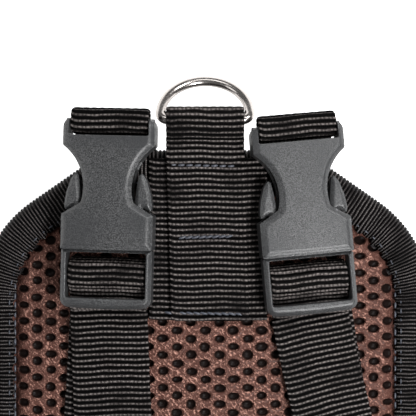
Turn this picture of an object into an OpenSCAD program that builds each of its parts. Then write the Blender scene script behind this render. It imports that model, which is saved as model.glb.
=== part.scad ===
// Safety harness vest, laid flat with its back panel up and both shoulder buckles closed.
// Two padded mesh panels, a D-ring held in folded webbing, two side-release shoulder buckles,
// adjusting straps, a band across the back and adjustable side straps.
// Millimetres, +Z up, +Y towards the D-ring, the floor at Z = 0.
// Heights called "over the dome" are measured outwards from the back panel's outer face.

/* [Node] */

/* [Back panel] */
// Length from the arched top edge to the lower edge
back_len = 197; // [165:1:236]
// Half width at the widest place
back_half_w = 72.6; // [61:0.1:88]
// Radius of the arch over which both panels lie
dome_r = 254; // [212:1:305]
// Thickness of the outer spacer mesh
back_mesh_t = 2.4; // [2:0.1:2.9]
// Thickness of the foam
back_foam_t = 4.4; // [3.6:0.1:5.3]
// Thickness of the inner lining
lining_t = 1.1; // [0.9:0.1:1.4]

/* [Chest panel] */
// Distance from the back panel's top edge down to the chest panel's top edge
chest_drop = 36; // [30:1:44]
// Length of the chest panel
chest_len = 156; // [130:1:160]
// Half width of the chest panel
chest_half_w = 56; // [47:0.5:60]
// Thickness of its spacer mesh
chest_mesh_t = 2; // [1.6:0.1:2.4]
// Thickness of its foam
chest_foam_t = 3.5; // [2.9:0.1:4.2]

/* [Binding] */
// Thickness of the binding tape
tape_t = 0.9; // [0.7:0.05:1.1]
// Width of tape folded onto each face
binding_w = 11.5; // [9.5:0.1:13.8]

/* [Webbing] */
// Width of all narrow webbing
web_w = 24.4; // [20.3:0.1:29.3]
// Thickness of all webbing
web_t = 1.4; // [1.1:0.05:1.7]
// How much wider the backing webbing is than the narrow webbing
backing_extra = 12.6; // [10.5:0.1:15.1]
// Offset of the wide webbing to the right of the middle
backing_shift = 0.9; // [0:0.1:1.1]
// Distance from the top edge down to where the centre webbing ends
centre_drop = 53.5; // [45:0.5:64]
// Length of the strap tail under each plug
tail_len = 50; // [42:1:60]
// Length of the folded hem on a strap tail
hem_len = 9; // [7.5:0.5:11]

/* [D-ring] */
// Diameter of the ring's wire
wire_d = 3; // [2.5:0.1:3.6]
// Straight part of each leg, from the bar to the arc
ring_rise = 2.4; // [2:0.1:2.9]
// Distance of the bar beyond the top edge
ring_bar_y = 9.7; // [8:0.1:11.6]
// Lean of the ring towards the floor, in degrees
ring_tilt = 39.5; // [33:0.5:47]

/* [Buckles] */
// Depth of the socket
buckle_depth = 8.6; // [7.2:0.1:10.3]
// Length of the socket
socket_len = 40.9; // [39:0.1:49]
// Half width of the socket's waist
waist_half_w = 7.6; // [6.4:0.1:9.1]
// Radius of the hollow at each side of the waist
scallop_r = 16; // [13.5:0.5:19]
// Thickness of the socket's walls
wall_t = 1.5; // [1.3:0.05:1.8]
// Length of the plug's frame
frame_len = 18; // [16.6:0.1:21.6]
// Turn of the left buckle about the face normal, in degrees
left_turn = -1.5; // [-4:0.5:0]
// Turn of the right buckle, in degrees
right_turn = 5.2; // [0:0.1:6]
// Distance of the left parting line below the top edge
left_drop = 31; // [29:0.5:37]
// Distance of the right parting line below the top edge
right_drop = 32.6; // [31:0.2:39]

/* [Side straps] */
// Distance of the waist band's middle above the lower edge
band_rise = 35; // [29:1:42]
// Half length of the waist band
band_half = 66; // [55:1:67]
// How far each side loop stands out past the back panel's widest place
side_out = 25.1; // [21:0.1:30]
// Distance of each tri-glide from the middle
glide_x = 52; // [46:1:56]

/* [Hidden] */

$fn = 48;
dome_fn = 720;

webbing_black = [0.07, 0.07, 0.08];
tape_black = [0.1, 0.1, 0.11];
mesh_brown = [0.36, 0.24, 0.19];
foam_grey = [0.45, 0.45, 0.47];
lining_grey = [0.16, 0.15, 0.15];
plastic_grey = [0.22, 0.22, 0.23];
nickel = [0.72, 0.7, 0.67];

// Clearances
lay_gap = 0.1;        // between straps sewn on one another
slide_gap = 0.3;      // between pieces that move on one another
nest_gap = 0.15;      // round a prong's root
curve_gap = 0.45;     // under the arch, for flat webbing against a curved face
fit_gap = 0.02;       // between a layer and the binding folded round it

// Heights over the dome, from the outer face inwards
back_face_h = -tape_t;
back_foam_h = back_face_h - back_mesh_t;
back_lining_h = back_foam_h - back_foam_t;
back_inner_h = back_lining_h - lining_t;
back_under_h = back_inner_h - tape_t;
under_strap_h = back_under_h - curve_gap - web_t / 2;
chest_top_h = under_strap_h - web_t / 2 - lay_gap;
chest_lining_h = chest_top_h - tape_t;
chest_foam_h = chest_lining_h - lining_t;
chest_mesh_h = chest_foam_h - chest_foam_t;
chest_face_h = chest_mesh_h - chest_mesh_t;
chest_under_h = chest_face_h - tape_t;

// Heights of the straps that lie on the back panel
first_h = lay_gap;
second_h = first_h + web_t + lay_gap;
third_h = second_h + web_t + lay_gap;
tail_h = first_h + web_t + slide_gap;

// The dome's axis: the chest panel's side edges stand on the floor
axis_z = -sqrt(pow(dome_r + chest_under_h, 2) - pow(chest_half_w, 2));
crown_z = axis_z + dome_r;

// D-ring and buckle widths follow the webbing
ring_mid = web_w / 2 + slide_gap + wire_d / 2;
ring_out = ring_mid + wire_d / 2;
ring_bar_h = 1.2;
slot_half = web_w / 2 + 0.4;
socket_half = slot_half + 1.8;
frame_half = slot_half + 1.7;
mouth_half = socket_half - wall_t;
plug_half = mouth_half - slide_gap;
backing_w = web_w + backing_extra;
side_reach = back_half_w + side_out;
left_x = -(ring_out + socket_half - 0.1);
right_x = ring_out + socket_half + 1.2;

// Heights of the buckle over the dome
socket_h = 1.3;
cavity_h = socket_h + wall_t + 0.2;
cavity_t = buckle_depth - 2 * (wall_t + 0.2);
blade_h = cavity_h + slide_gap;
blade_t = cavity_t - 2 * slide_gap;
frame_h = tail_h + 0.2;
frame_t = socket_h + buckle_depth - 0.8 - frame_h;
outer_bar_h = tail_h + web_t + slide_gap;

// Places along the buckle, from the parting line
window_y = 10.8;
cavity_y = 28;
slot_y = socket_len - 5.4;
slot_w = 2.1;
bar_r = 1.7;
bar_y = socket_len - bar_r;
bar_h = socket_h + buckle_depth / 2;
loop_r = bar_r + 0.2 + web_t / 2;
loop_y = bar_y + 1.8;
prong_x = plug_half - 3.1;
prong_y = 5.2;
prong_r = 1.5;
tongue_half = 2.4;
tongue_y = 22;
open_top = 1;
open_bottom = frame_len - 2.8;
lift_bar_y = (open_top + open_bottom) / 2;
lift_bar_h = outer_bar_h + 1.5;
lift_bar_r = 1.3;
lift_bar_half = 1.4;
wrap_rise = lift_bar_r + nest_gap + web_t / 2;

// The whole vest's extent along Y, to centre it
ring_top_y = ring_bar_y + (ring_rise + ring_mid) * cos(ring_tilt) + wire_d / 2;
mid_y = (ring_top_y - back_len) / 2;

// ---------- helpers ----------

function unit(v) = v / norm(v);
function left_of(v) = [-v[1], v[0]];
function corner(a, b) =
    let (n = unit(left_of(unit(a)) + left_of(unit(b))))
    n / (n * left_of(unit(a)));
function way_in(path, i) = i > 0 ? path[i] - path[i - 1] : path[1] - path[0];
function way_out(path, i) = i < len(path) - 1 ? path[i + 1] - path[i] : way_in(path, i);
function side_of(path, off) =
    [for (i = [0 : len(path) - 1]) path[i] + corner(way_in(path, i), way_out(path, i)) * off];
function reversed(list) = [for (i = [len(list) - 1 : -1 : 0]) list[i]];
function arc(centre, r, from, to, steps) =
    [for (i = [0 : steps])
        let (a = from + (to - from) * i / steps)
        centre + r * [cos(a), sin(a)]];

// The middle line of a strap that bends evenly, heading down the panel; angles from -Y towards +X
function bend_at(s, length, from, to) = from + (to - from) * s / length;
function bend_step(start, length, from, to, n, i) =
    i == 0 ? start :
    let (last = bend_step(start, length, from, to, n, i - 1),
         a = bend_at((i - 0.5) * length / n, length, from, to))
    last + length / n * [sin(a), -cos(a)];
function bend(start, length, from, to, n = 6) =
    [for (i = [0 : n]) bend_step(start, length, from, to, n, i)];

// A strip of even thickness along a path
module strip(path, t) {
    polygon(concat(side_of(path, t / 2), reversed(side_of(path, -t / 2))));
}

// Webbing seen from its edge: the path is in Y and Z, the width along X
module webbing(path, w = web_w) {
    rotate([90, 0, 90])
        linear_extrude(height = w, center = true)
            strip(path, web_t);
}

// A layer that follows the dome between two heights, cut to the outline given
module layer(low, high) {
    intersection() {
        translate([0, 0, axis_z])
            rotate([90, 0, 0])
                difference() {
                    cylinder(h = 4 * back_len, r = dome_r + high, center = true, $fn = dome_fn);
                    cylinder(h = 4 * back_len + 2, r = dome_r + low, center = true, $fn = dome_fn);
                }
        translate([0, 0, -1])
            linear_extrude(height = crown_z + 20)
                children();
    }
}

// A flat place on the dome, at distance x from the middle
module on_dome(x) {
    translate([0, 0, axis_z])
        rotate([0, asin(x / dome_r), 0])
            translate([0, 0, dome_r])
                children();
}

module at_left_buckle() {
    on_dome(left_x)
        translate([0, -left_drop, 0])
            rotate([0, 0, left_turn])
                children();
}

module at_right_buckle() {
    on_dome(right_x)
        translate([0, -right_drop, 0])
            rotate([0, 0, right_turn])
                children();
}

// Puts a node into the shared frame
module placed() {
    translate([0, -mid_y, 0])
        children();
}

// ---------- panels ----------

module pair(x, y, r) {
    for (side = [-1, 1])
        translate([side * x, -y])
            circle(r = r, $fn = 96);
}

module back_outline(inset = 0) {
    hull() {
        pair(back_half_w * 0.33, 25, 25 - inset);
        pair(back_half_w - 38, 48, 38 - inset);
        pair(back_half_w - 34, back_len - 34, 34 - inset);
    }
}

module chest_outline(inset = 0) {
    hull() {
        pair(chest_half_w * 0.32, chest_drop + 26, 26 - inset);
        pair(chest_half_w - 24, chest_drop + 84, 24 - inset);
        pair(chest_half_w - 20, chest_drop + chest_len - 20, 20 - inset);
    }
}

module back_mesh_face() {
    color(mesh_brown)
        placed()
            layer(back_foam_h, back_face_h)
                back_outline(tape_t);
}

module back_foam_core() {
    color(foam_grey)
        placed()
            layer(back_lining_h, back_foam_h)
                back_outline(tape_t);
}

module back_lining() {
    color(lining_grey)
        placed()
            layer(back_inner_h, back_lining_h)
                back_outline(tape_t);
}

module back_binding() {
    color(tape_black)
        placed()
            difference() {
                layer(back_under_h, 0)
                    back_outline();
                layer(back_inner_h - fit_gap, back_face_h + fit_gap)
                    back_outline(tape_t - fit_gap);
                layer(back_under_h - 2, 2)
                    back_outline(binding_w);
            }
}

module chest_mesh_face() {
    color(mesh_brown)
        placed()
            layer(chest_face_h, chest_mesh_h)
                chest_outline(tape_t);
}

module chest_foam_core() {
    color(foam_grey)
        placed()
            layer(chest_mesh_h, chest_foam_h)
                chest_outline(tape_t);
}

module chest_lining() {
    color(lining_grey)
        placed()
            layer(chest_foam_h, chest_lining_h)
                chest_outline(tape_t);
}

module chest_binding() {
    color(tape_black)
        placed()
            difference() {
                layer(chest_under_h, chest_top_h)
                    chest_outline();
                layer(chest_face_h - fit_gap, chest_lining_h + fit_gap)
                    chest_outline(tape_t - fit_gap);
                layer(chest_under_h - 2, chest_top_h + 2)
                    chest_outline(binding_w);
            }
}

// ---------- centre webbing and D-ring ----------

module backing_webbing() {
    color(webbing_black)
        placed()
            layer(first_h, first_h + web_t)
                translate([backing_shift - backing_w / 2, -centre_drop])
                    square([backing_w, centre_drop - 2.4]);
}

// The webbing runs up the face, over the ring's bar and down behind the panel's top edge
module d_ring_webbing() {
    front = second_h + web_t / 2;
    fold_r = wire_d / 2 + slide_gap + web_t / 2;
    pinch = ring_bar_h - 0.35;
    back = pinch - web_t - lay_gap;
    path = concat(
        [[-centre_drop, front], [-2, front], [1.2, pinch + 0.5], [ring_bar_y - 6.3, pinch],
         [ring_bar_y - 3.5, ring_bar_h + fold_r - 0.5]],
        arc([ring_bar_y + 1, ring_bar_h], fold_r, 100, -100, 10),
        [[ring_bar_y - 1.3, ring_bar_h - fold_r], [ring_bar_y - 3.5, ring_bar_h - fold_r + 0.3],
         [ring_bar_y - 6.3, back], [1.9, back - 1], [1.1, back - 3],
         [1.1, back_under_h + 0.3], [0.5, under_strap_h + 0.1], [-1.2, under_strap_h],
         [-24, under_strap_h]]);
    color(webbing_black)
        placed()
            translate([0, 0, crown_z])
                webbing(path);
}

module d_ring() {
    color(nickel)
        placed()
            translate([0, ring_bar_y, crown_z + ring_bar_h])
                rotate([-ring_tilt, 0, 0]) {
                    rotate([0, 90, 0])
                        cylinder(h = 2 * ring_mid, d = wire_d, center = true);
                    for (side = [-1, 1])
                        translate([side * ring_mid, 0, 0]) {
                            sphere(d = wire_d);
                            rotate([-90, 0, 0])
                                cylinder(h = ring_rise, d = wire_d);
                        }
                    translate([0, ring_rise, 0])
                        rotate_extrude(angle = 180, $fn = 96)
                            translate([ring_mid, 0])
                                circle(d = wire_d, $fn = 32);
                }
}

// ---------- shoulder straps and buckles ----------

// Webbing through the socket's slot, over its bar, then round the panel's top edge to the chest panel
module shoulder_strap(drop, turn) {
    edge = (drop + web_w / 2 * abs(sin(turn)) + 0.4) / cos(turn) + web_t / 2;
    low = bar_h - loop_r;
    path = concat(
        [[bar_y - loop_r, low - 0.2]],
        arc([bar_y, bar_h], loop_r, 180, 90, 4),
        arc([loop_y, bar_h], loop_r, 90, -90, 10),
        [[bar_y + 0.1, low - 0.5], [bar_y - 1.5, low - 1.8],
         [edge + 1.2, -1.6], [edge + 0.2, -3.6], [edge, back_under_h + 0.4],
         [edge - 0.5, under_strap_h + 0.2], [edge - 2, under_strap_h], [-40, under_strap_h]]);
    webbing(path);
}

module left_shoulder_strap() {
    color(webbing_black)
        placed()
            at_left_buckle()
                shoulder_strap(left_drop, left_turn);
}

module right_shoulder_strap() {
    color(webbing_black)
        placed()
            at_right_buckle()
                translate([0.3, 0, 0])
                    shoulder_strap(right_drop, right_turn);
}

module socket_outline() {
    difference() {
        hull() {
            for (side = [-1, 1])
                translate([side * (socket_half - 3), socket_len - 3])
                    circle(r = 3);
            translate([-socket_half, window_y])
                square([2 * socket_half, 4]);
        }
        for (side = [-1, 1])
            translate([side * (waist_half_w + scallop_r), socket_len - 21.7])
                circle(r = scallop_r, $fn = 96);
    }
    polygon([[-socket_half, 0], [socket_half, 0], [socket_half, window_y],
             [waist_half_w + 0.6, window_y + 3.8], [-waist_half_w - 0.6, window_y + 3.8],
             [-socket_half, window_y]]);
}

module socket() {
    difference() {
        translate([0, 0, socket_h])
            linear_extrude(height = buckle_depth)
                socket_outline();
        translate([-mouth_half, -1, cavity_h])
            cube([2 * mouth_half, window_y + 1.5, cavity_t]);
        translate([-2 * socket_half, window_y, cavity_h])
            cube([4 * socket_half, cavity_y - window_y, cavity_t]);
        translate([-slot_half, slot_y, 0])
            cube([2 * slot_half, socket_len, 2 * buckle_depth]);
    }
    translate([0, bar_y, bar_h])
        rotate([0, 90, 0])
            cylinder(h = 2 * socket_half - 1, r = bar_r, center = true);
}

module left_socket() {
    color(plastic_grey)
        placed()
            at_left_buckle()
                socket();
}

module right_socket() {
    color(plastic_grey)
        placed()
            at_right_buckle()
                socket();
}

module frame_outline() {
    difference() {
        hull() {
            for (side = [-1, 1])
                translate([side * (frame_half - 2.5), -frame_len + 2.5])
                    circle(r = 2.5);
            translate([-frame_half, -3])
                square([2 * frame_half, 2.85]);
        }
        translate([-slot_half, -open_bottom])
            square([2 * slot_half, open_bottom - open_top]);
    }
}

module plug() {
    difference() {
        union() {
            translate([0, 0, frame_h])
                linear_extrude(height = frame_t)
                    frame_outline();
            translate([-plug_half, -open_top, blade_h])
                cube([2 * plug_half, open_top + prong_y, blade_t]);
            translate([-tongue_half, 0, blade_h])
                cube([2 * tongue_half, tongue_y, blade_t]);
            for (end = [-1, 1])
                translate([0, -lift_bar_y + end * lift_bar_half, lift_bar_h])
                    rotate([0, 90, 0])
                        cylinder(h = 2 * slot_half + 0.6, r = lift_bar_r, center = true);
            translate([-slot_half - 0.3, -lift_bar_y - lift_bar_half, lift_bar_h - lift_bar_r])
                cube([2 * slot_half + 0.6, 2 * lift_bar_half, 2 * lift_bar_r]);
        }
        translate([-slot_half, -frame_len - 1, 0])
            cube([2 * slot_half, frame_len - open_bottom + 2, outer_bar_h]);
        for (side = [-1, 1])
            translate([side * prong_x, prong_y, 0])
                cylinder(h = 2 * buckle_depth, r = prong_r + nest_gap);
    }
}

module left_plug() {
    color(plastic_grey)
        placed()
            at_left_buckle()
                plug();
}

module right_plug() {
    color(plastic_grey)
        placed()
            at_right_buckle()
                plug();
}

// A springy prong on the +X side: its round root, its arm and the leaf that shows in the window
module prong() {
    translate([prong_x, prong_y, blade_h]) {
        cylinder(h = blade_t, r = prong_r);
        linear_extrude(height = blade_t)
            polygon([[-1.1, 0], [1.1, 0], [1.1, 7], [1.4, 8.2], [4, 6.9], [4.35, 8.6],
                     [3.8, 12.3], [2.4, 16.7], [1, 18.6], [0.1, 18], [-0.6, 13.8], [-1.1, 8]]);
    }
}

module left_inner_prong() {
    color(plastic_grey)
        placed()
            at_left_buckle()
                prong();
}

module left_outer_prong() {
    color(plastic_grey)
        placed()
            at_left_buckle()
                mirror([1, 0, 0])
                    prong();
}

module right_outer_prong() {
    color(plastic_grey)
        placed()
            at_right_buckle()
                prong();
}

module right_inner_prong() {
    color(plastic_grey)
        placed()
            at_right_buckle()
                mirror([1, 0, 0])
                    prong();
}

// ---------- adjusting straps ----------

// Webbing up through the plug's frame, over its bar and down again under the outer bar
module plug_wrap() {
    lie = tail_h + web_t / 2;
    path = concat(
        [[-lift_bar_y + 5.1, tail_h], [-lift_bar_y + 4.4, lie + 1]],
        arc([-lift_bar_y + lift_bar_half, lift_bar_h], wrap_rise, 20, 90, 5),
        arc([-lift_bar_y - lift_bar_half, lift_bar_h], wrap_rise, 90, 160, 5),
        [[-lift_bar_y - 4.9, lie + 1.4], [-lift_bar_y - 6.5, lie + 0.25],
         [-frame_len + 2, lie], [-frame_len - 1.5, lie]]);
    webbing(path);
}

module tail_strip(start, from, to) {
    plain = tail_len - hem_len;
    turn = bend_at(plain, tail_len, from, to);
    path = bend(start, plain, from, turn);
    layer(tail_h, tail_h + web_t)
        strip(path, web_w);
    layer(tail_h, tail_h + 2 * web_t)
        strip(bend(path[6], hem_len, turn, to, 2), web_w);
}

left_tail_start = [left_x - (frame_len + 0.6) * sin(-left_turn), -left_drop - frame_len - 0.6];
right_tail_start = [right_x + (frame_len + 0.6) * sin(right_turn), -right_drop - frame_len - 0.6];

module left_strap_tail() {
    color(webbing_black)
        placed() {
            at_left_buckle()
                plug_wrap();
            tail_strip(left_tail_start, 1.8, 2.8);
        }
}

module right_strap_tail() {
    color(webbing_black)
        placed() {
            at_right_buckle()
                plug_wrap();
            tail_strip(right_tail_start, 11.5, 15.5);
        }
}

// Each strap runs from under its plug to under the waist band
strap_top_y = 4.3;
strap_foot_y = back_len - band_rise - 4;

module left_adjusting_strap() {
    start = [left_x - 0.2, -left_drop - strap_top_y];
    color(webbing_black)
        placed()
            layer(first_h, first_h + web_t)
                strip(bend(start, strap_foot_y + start[1], -1.5, -8), web_w);
}

module right_adjusting_strap() {
    start = [right_x + 0.8, -right_drop - strap_top_y];
    color(webbing_black)
        placed()
            layer(first_h, first_h + web_t)
                strip(bend(start, strap_foot_y + start[1], 9, 11.5), web_w);
}

// ---------- waist band, side straps and tri-glides ----------

module waist_band() {
    color(webbing_black)
        placed()
            layer(second_h, second_h + web_t)
                translate([-band_half, -back_len + band_rise - web_w / 2])
                    square([2 * band_half, web_w]);
}

// Seen along the vest: over the waist band, off the panel's edge, round a fold on the floor
// and back to the chest panel's edge
module side_strap() {
    top_r = dome_r + third_h + web_t / 2;
    from = asin((glide_x - 18) / top_r);
    to = asin((back_half_w - 3.6) / top_r);
    fold_r = 4.5;
    fold_x = side_reach - fold_r - web_t / 2;
    path = concat(
        arc([0, axis_z], top_r, 90 - from, 90 - to, 6),
        arc([fold_x, fold_r + web_t / 2], fold_r, 60, -90, 8),
        [[chest_half_w + 6, web_t / 2], [chest_half_w + 1.2, 2.4]]);
    translate([0, -back_len + band_rise, 0])
        rotate([90, 0, 0])
            linear_extrude(height = web_w, center = true)
                strip(path, web_t);
}

module right_side_strap() {
    color(webbing_black)
        placed()
            side_strap();
}

module left_side_strap() {
    color(webbing_black)
        placed()
            mirror([1, 0, 0])
                side_strap();
}

glide_half = 8;
glide_slot = 3.2;
glide_bar = 1.6;
glide_low = third_h + web_t + slide_gap;
glide_h = glide_low + web_t + 0.2;
glide_t = 2.4;

module at_right_glide() {
    on_dome(glide_x)
        translate([0, -back_len + band_rise, 0])
            children();
}

module tri_glide() {
    difference() {
        translate([0, 0, glide_h])
            linear_extrude(height = glide_t)
                hull()
                    for (x = [-1, 1], y = [-1, 1])
                        translate([x * (glide_half - 2), y * (slot_half + 0.6)])
                            circle(r = 2);
        for (side = [-1, 1])
            translate([side * (glide_bar + glide_slot / 2) - glide_slot / 2, -slot_half, 0])
                cube([glide_slot, 2 * slot_half, 2 * buckle_depth]);
    }
}

module right_tri_glide() {
    color(plastic_grey)
        placed()
            at_right_glide()
                tri_glide();
}

module left_tri_glide() {
    color(plastic_grey)
        placed()
            mirror([1, 0, 0])
                at_right_glide()
                    tri_glide();
}

// Webbing over the tri-glide's middle bar, under its inner bar and on towards the middle
module side_tail() {
    lie = glide_low + web_t / 2;
    round_x = glide_bar - 0.4;
    round_h = glide_h + glide_t - 0.4;
    round_r = 0.6 + web_t / 2;
    path = concat(
        [[round_x + round_r, glide_low]],
        arc([round_x, round_h], round_r, 0, 90, 4),
        arc([-round_x, round_h], round_r, 90, 180, 4),
        [[-round_x - round_r - 0.1, lie + 1.3], [-round_x - round_r - 1.2, lie + 0.15],
         [-round_x - round_r - 2.5, lie], [-glide_half - 14, lie]]);
    rotate([90, 0, 0])
        linear_extrude(height = web_w, center = true)
            strip(path, web_t);
}

module right_side_tail() {
    color(webbing_black)
        placed()
            at_right_glide()
                side_tail();
}

module left_side_tail() {
    color(webbing_black)
        placed()
            mirror([1, 0, 0])
                at_right_glide()
                    side_tail();
}

// ---------- nodes ----------

back_mesh_face();
back_foam_core();
back_lining();
back_binding();
chest_mesh_face();
chest_foam_core();
chest_lining();
chest_binding();
backing_webbing();
d_ring_webbing();
d_ring();
waist_band();
left_shoulder_strap();
right_shoulder_strap();
left_socket();
right_socket();
left_plug();
right_plug();
left_outer_prong();
left_inner_prong();
right_inner_prong();
right_outer_prong();
left_strap_tail();
right_strap_tail();
left_adjusting_strap();
right_adjusting_strap();
left_side_strap();
right_side_strap();
left_tri_glide();
right_tri_glide();
left_side_tail();
right_side_tail();
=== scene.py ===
import math

import bmesh
import bpy
import numpy as np
from mathutils import Matrix, Vector
from mathutils.bvhtree import BVHTree


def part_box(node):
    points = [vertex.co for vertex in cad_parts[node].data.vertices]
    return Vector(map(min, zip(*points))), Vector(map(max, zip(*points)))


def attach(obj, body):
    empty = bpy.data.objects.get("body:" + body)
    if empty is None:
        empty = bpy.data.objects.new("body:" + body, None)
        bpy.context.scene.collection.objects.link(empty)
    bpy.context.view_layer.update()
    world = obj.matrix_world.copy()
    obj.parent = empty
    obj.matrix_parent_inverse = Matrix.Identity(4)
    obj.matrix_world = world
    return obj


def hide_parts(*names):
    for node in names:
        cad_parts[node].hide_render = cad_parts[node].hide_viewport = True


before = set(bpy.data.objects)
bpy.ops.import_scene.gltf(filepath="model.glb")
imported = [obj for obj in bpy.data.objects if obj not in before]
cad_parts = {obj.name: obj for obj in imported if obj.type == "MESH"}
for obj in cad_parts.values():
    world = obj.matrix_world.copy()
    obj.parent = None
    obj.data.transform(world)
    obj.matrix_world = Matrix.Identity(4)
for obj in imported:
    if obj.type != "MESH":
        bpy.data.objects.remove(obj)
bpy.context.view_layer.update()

# ---------- sizes, in millimetres ----------

MM = 0.001
BACK_LEN = 197.0
BACK_HALF_W = 72.6
CHEST_DROP = 36.0
CHEST_LEN = 156.0
CHEST_HALF_W = 56.0
DOME_R = 254.0          # the arch over which both panels lie
TAPE_W = 11.5           # the binding's width on each face
WEB_W = 24.4
WEB_T = 1.4
RIB_PITCH = 1.75        # from one webbing rib to the next
RIB_DEPTH = 0.62
LAY_GAP = 0.1
SLIDE_GAP = 0.3
BACKING_W = WEB_W + 12.6
BACKING_SHIFT = 0.9
CENTRE_DROP = 53.5
WIRE_D = 3.0
RING_BAR_Y = 9.7
RING_BAR_H = 1.2
RING_TILT = 39.5
RING_RISE = 2.4
SOCKET_LEN = 40.9
SOCKET_H = 1.3
BUCKLE_DEPTH = 8.6
FRAME_LEN = 18.0
WAIST_HALF = 7.6
SCALLOP_R = 16.0
LEFT_DROP, LEFT_TURN = 31.0, -1.5
RIGHT_DROP, RIGHT_TURN = 32.6, 5.2
BAND_RISE = 35.0
BAND_HALF = 66.0
SIDE_REACH = BACK_HALF_W + 25.1
GLIDE_X = 52.0
TAIL_LEN = 50.0
HEM_LEN = 9.0
HOLE_COLUMN = 4.46      # air mesh: from one column of holes to the next
HOLE_ROW = 5.15
SEAM_X = 60.7           # the sewn channel beside the panel's edge
EDGE_STITCH_IN = 10.2   # from the panel's outline to the row of stitches in the binding

# Heights over the arch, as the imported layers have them
BACK_FACE_H = -0.9
BACK_FOAM_H = BACK_FACE_H - 2.4
BACK_UNDER_H = -9.7
UNDER_STRAP_H = BACK_UNDER_H - 0.45 - WEB_T / 2
CHEST_TOP_H = UNDER_STRAP_H - WEB_T / 2 - LAY_GAP
CHEST_UNDER_H = CHEST_TOP_H - 8.4
CHEST_FACE_H = CHEST_UNDER_H + 0.9
FIRST_H = LAY_GAP
SECOND_H = FIRST_H + WEB_T + LAY_GAP
THIRD_H = SECOND_H + WEB_T + LAY_GAP
TAIL_H = FIRST_H + WEB_T + SLIDE_GAP

SLOT_HALF = WEB_W / 2 + 0.4
SOCKET_HALF = SLOT_HALF + 1.8
FRAME_HALF = SLOT_HALF + 1.7
RING_MID = WEB_W / 2 + SLIDE_GAP + WIRE_D / 2
LEFT_X = -(RING_MID + WIRE_D / 2 + SOCKET_HALF - 0.1)
RIGHT_X = RING_MID + WIRE_D / 2 + SOCKET_HALF + 1.2

panel_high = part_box("back_binding")[1]
TOP_Y = panel_high.y / MM          # row Y of the panel's top edge
AXIS_Z = panel_high.z / MM - DOME_R
BAND_Y = -BACK_LEN + BAND_RISE
SEAM_END_Y = BAND_Y + WEB_W / 2 + 1

rng = np.random.default_rng(7)


# ---------- places ----------

def over_dome(x, y, h):
    """Row-frame points h over the arched panel, y from the panel's top edge."""
    x, y, h = np.broadcast_arrays(np.asarray(x, float), y, h)
    z = AXIS_Z + np.sqrt((DOME_R + h) ** 2 - x ** 2)
    return np.stack([x, y + TOP_Y, z], -1) * MM


def flat_spot(x, drop, turn=0.0):
    """A frame that touches the arch at x, its Y up the panel and its Z outwards."""
    return (
        Matrix.Translation((0, TOP_Y * MM, AXIS_Z * MM))
        @ Matrix.Rotation(math.asin(x / DOME_R), 4, "Y")
        @ Matrix.Translation((0, -drop * MM, DOME_R * MM))
        @ Matrix.Rotation(math.radians(turn), 4, "Z")
    )


def carried(matrix, points):
    """Points in millimetres in a frame, as row-frame points in metres."""
    m = np.array(matrix)
    return np.asarray(points) * MM @ m[:3, :3].T + m[:3, 3]


LEFT_SPOT = flat_spot(LEFT_X, LEFT_DROP, LEFT_TURN)
RIGHT_SPOT = flat_spot(RIGHT_X, RIGHT_DROP, RIGHT_TURN)
MIDDLE_SPOT = flat_spot(0, 0)


def arc(centre, radius, start, end, steps):
    a = np.radians(np.linspace(start, end, steps + 1))
    return np.stack([centre[0] + radius * np.cos(a), centre[1] + radius * np.sin(a)], -1)


def softened(path, step=0.25, reach=0.6):
    """A path resampled evenly, with its corners rounded off."""
    path = np.asarray(path, float)
    gaps = np.linalg.norm(np.diff(path, axis=0), axis=1)
    path = path[np.concatenate([[True], gaps > 1e-6])]
    run = np.concatenate([[0], np.cumsum(np.linalg.norm(np.diff(path, axis=0), axis=1))])
    s = np.linspace(0, run[-1], max(3, int(run[-1] / step)))
    even = np.stack([np.interp(s, run, path[:, k]) for k in (0, 1)], -1)
    half = int(3 * reach / step)
    weights = np.exp(-0.5 * (np.arange(-half, half + 1) * step / reach) ** 2)
    weights /= weights.sum()
    padded = np.concatenate([
        2 * even[0] - even[half:0:-1], even, 2 * even[-1] - even[-2:-half - 2:-1]])
    return np.stack([np.convolve(padded[:, k], weights, "valid") for k in (0, 1)], -1)


def path_reader(path):
    """Length of a smooth path, and a function giving its points and left-hand normals."""
    run = np.concatenate([[0], np.cumsum(np.linalg.norm(np.diff(path, axis=0), axis=1))])
    way = np.gradient(path, run, axis=0)
    way /= np.linalg.norm(way, axis=1)[:, None]
    side = np.stack([-way[:, 1], way[:, 0]], -1)

    def at(s):
        point = np.stack([np.interp(s, run, path[:, k]) for k in (0, 1)], -1)
        normal = np.stack([np.interp(s, run, side[:, k]) for k in (0, 1)], -1)
        return point, normal

    return run[-1], at


def bend(start, length, start_angle, end_angle, steps=24):
    """Middle line of a strap that curves evenly down the panel; angles from -Y towards +X."""
    points = [np.array(start, float)]
    for i in range(steps):
        a = math.radians(start_angle + (end_angle - start_angle) * (i + 0.5) / steps)
        points.append(points[-1] + length / steps * np.array([math.sin(a), -math.cos(a)]))
    return np.array(points)


def rounded_hull(circles, step=0.5):
    """Closed outline round circles (x, y, r), evenly spaced, anticlockwise."""
    a = np.linspace(0, 2 * math.pi, 180, endpoint=False)
    points = np.concatenate([np.stack([x + r * np.cos(a), y + r * np.sin(a)], -1) for x, y, r in circles])
    points = points[np.lexsort((points[:, 1], points[:, 0]))]

    def chain(row):
        out = []
        for p in row:
            while len(out) > 1 and np.cross(out[-1] - out[-2], p - out[-2]) <= 0:
                out.pop()
            out.append(p)
        return out[:-1]

    hull = np.array(chain(points) + chain(points[::-1]))
    closed = np.concatenate([hull, hull[:1]])
    run = np.concatenate([[0], np.cumsum(np.linalg.norm(np.diff(closed, axis=0), axis=1))])
    s = np.linspace(0, run[-1], int(run[-1] / step), endpoint=False)
    return np.stack([np.interp(s, run, closed[:, k]) for k in (0, 1)], -1), run[-1]


def both_sides(circles):
    return [(side * x, y, r) for x, y, r in circles for side in (-1, 1)]


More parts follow.
